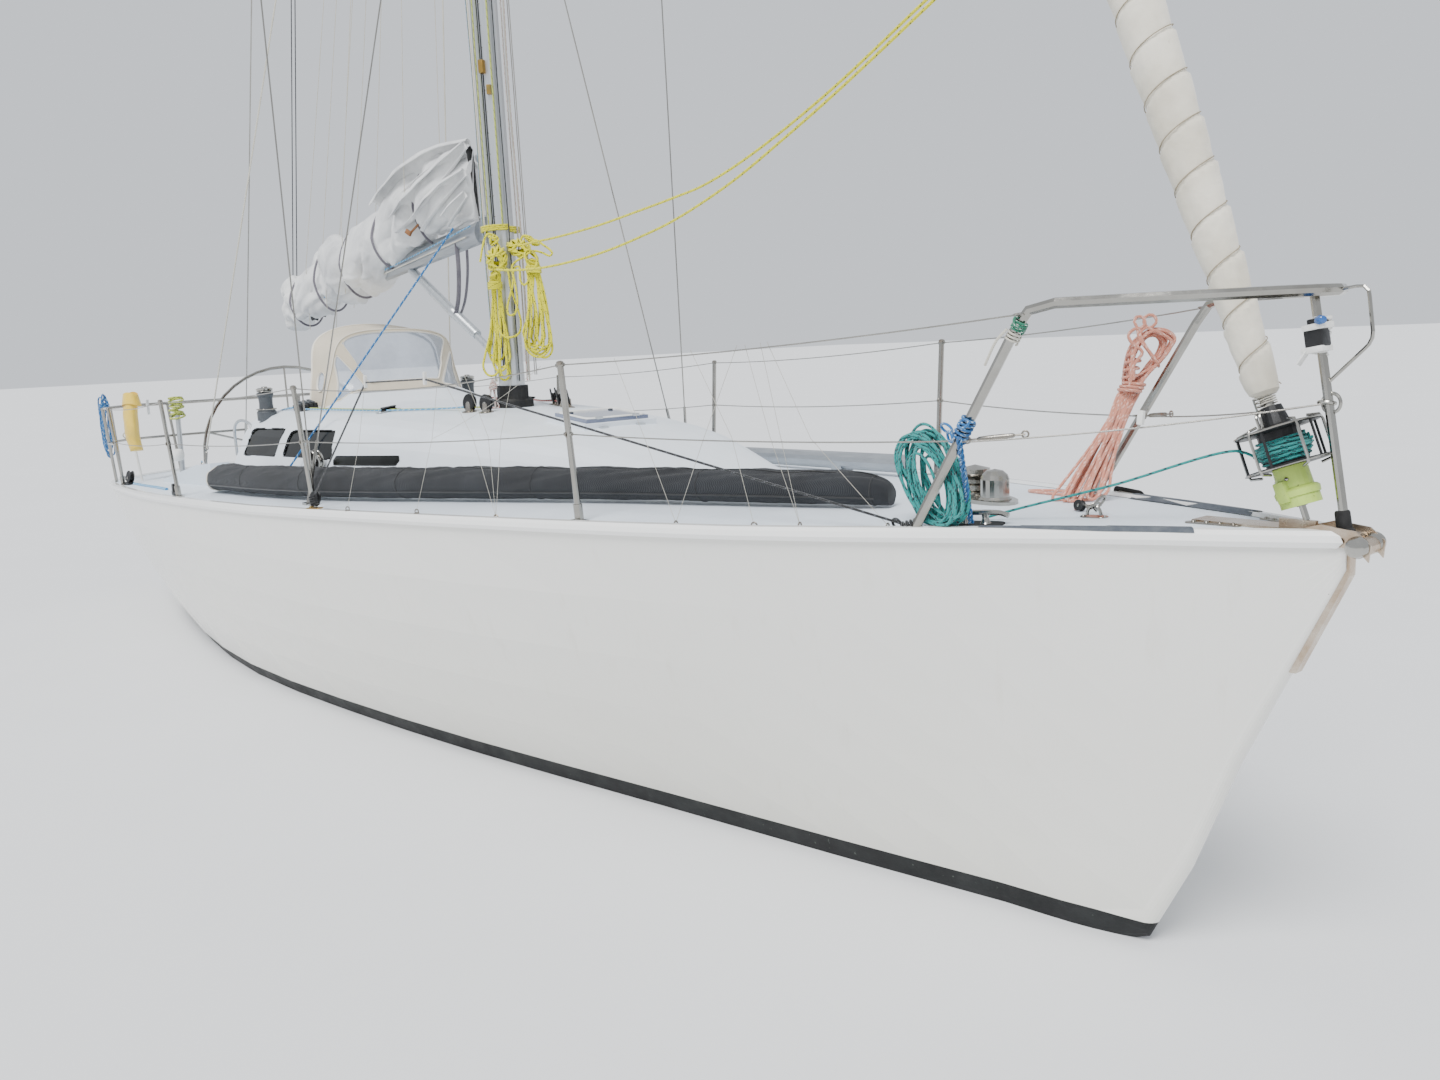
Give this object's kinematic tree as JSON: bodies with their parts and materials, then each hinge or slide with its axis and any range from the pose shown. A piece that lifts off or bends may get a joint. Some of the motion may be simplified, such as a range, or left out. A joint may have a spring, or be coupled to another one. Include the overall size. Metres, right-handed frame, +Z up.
{
  "type": "sailing yacht",
  "caption": "Sloop rigged fibreglass cruising yacht afloat, with fin keel, spade rudder, wheel steering, furled headsail and mainsail stowed on the boom.",
  "frame": {"origin": "on the waterline, amidships on the centreline", "axes": "+X forward to the bow, +Y to port, +Z up"},
  "size_m": [10.087, 2.928, 15.05],
  "materials": {
    "gelcoat": "glossy gelcoat",
    "bottom_paint": "matt bottom paint",
    "deck_paint": "satin gelcoat with moulded grip",
    "steel": "polished stainless",
    "alloy": "anodised",
    "dark_window": "smoked acrylic",
    "sailcloth": "woven polyester",
    "canvas": "coated canvas",
    "hood_cloth": "coated canvas",
    "dark_plastic": "satin",
    "teak": "oiled",
    "cast_iron": "painted",
    "bronze": "bare bronze",
    "lime_alloy": "satin paint",
    "yellow_rope": "braided polyester",
    "pink_rope": "braided polyester",
    "teal_rope": "braided polyester"
  },
  "bodies": {
    "hull": {"hull_topsides": "gelcoat", "hull_bottom": "bottom_paint", "deck": "deck_paint", "gunwale": "gelcoat", "coachroof": "deck_paint", "starboard_mid_window": "dark_window", "port_mid_window": "dark_window", "starboard_aft_window": "dark_window", "port_aft_window": "dark_window", "washboards": "teak", "cockpit": "deck_paint", "keel": "bottom_paint", "saildrive": "cast_iron", "engine": "cast_iron", "pedestal": "gelcoat", "mast": "alloy", "mast_step": "dark_plastic", "forestay": "steel", "furler_drum": "dark_plastic", "furled_genoa": "sailcloth", "backstay": "steel", "pulpit": "steel", "pushpit": "steel", "windlass": "steel", "stem_fitting": "steel", "sprayhood": "hood_cloth", "hood_bow": "steel", "sail_bag": "canvas", "spinnaker_pole": "alloy", "furler_base": "lime_alloy", "starboard_mast_hank": "yellow_rope", "port_mast_hank": "yellow_rope", "mast_foot_hank": "pink_rope", "bow_hank": "pink_rope", "furling_coil": "teal_rope", "port_sheet": "yellow_rope", "starboard_sheet": "yellow_rope", "starboard_cap_shroud": "steel", "starboard_lower_shroud": "steel", "starboard_winch": "alloy", "starboard_stanchion_1": "steel", "starboard_stanchion_2": "steel", "starboard_stanchion_3": "steel", "starboard_stanchion_4": "steel", "port_cap_shroud": "steel", "port_lower_shroud": "steel", "port_winch": "alloy", "port_stanchion_1": "steel", "port_stanchion_2": "steel", "port_stanchion_3": "steel", "port_stanchion_4": "steel"},
    "boom": {"boom": "alloy", "stowed_mainsail": "sailcloth", "vang": "alloy"},
    "rudder": {"rudder": "bottom_paint"},
    "steering_wheel": {"steering_wheel": "steel"},
    "propeller": {"propeller": "bronze"},
    "fore_hatch": {"fore_hatch": "dark_window"},
    "companion_hatch": {"companion_hatch": "deck_paint"}
  },
  "joints": [
    {"name": "boom_swing", "type": "hinge", "parent": "hull", "child": "boom", "pos_m": [0.255, 0, 2.665], "axis": [0, 0, 1], "range_deg": [-75, 75]},
    {"name": "rudder_turn", "type": "hinge", "parent": "hull", "child": "rudder", "pos_m": [-3.95, 0, 0], "axis": [0, 0, 1], "range_deg": [-35, 35]},
    {"name": "wheel_turn", "type": "hinge", "parent": "hull", "child": "steering_wheel", "pos_m": [-3.46, 0, 1.24], "axis": [1, 0, 0], "range_deg": [-270.1, 270.1]},
    {"name": "propeller_spin", "type": "hinge", "parent": "hull", "child": "propeller", "pos_m": [-2.332, 0, -0.86], "axis": [1, 0, 0], "continuous": true},
    {"name": "fore_hatch_hinge", "type": "hinge", "parent": "hull", "child": "fore_hatch", "pos_m": [1.5009, 0, 1.6406], "axis": [0, 1, 0], "range_deg": [0, 100]},
    {"name": "companion_slide", "type": "slide", "parent": "hull", "child": "companion_hatch", "axis": [1, 0, 0], "range_m": [0, 0.34]}
  ],
  "couplings": [
    {"joint": "wheel_turn", "follows": "rudder_turn", "ratio": 7.714}
  ]
}
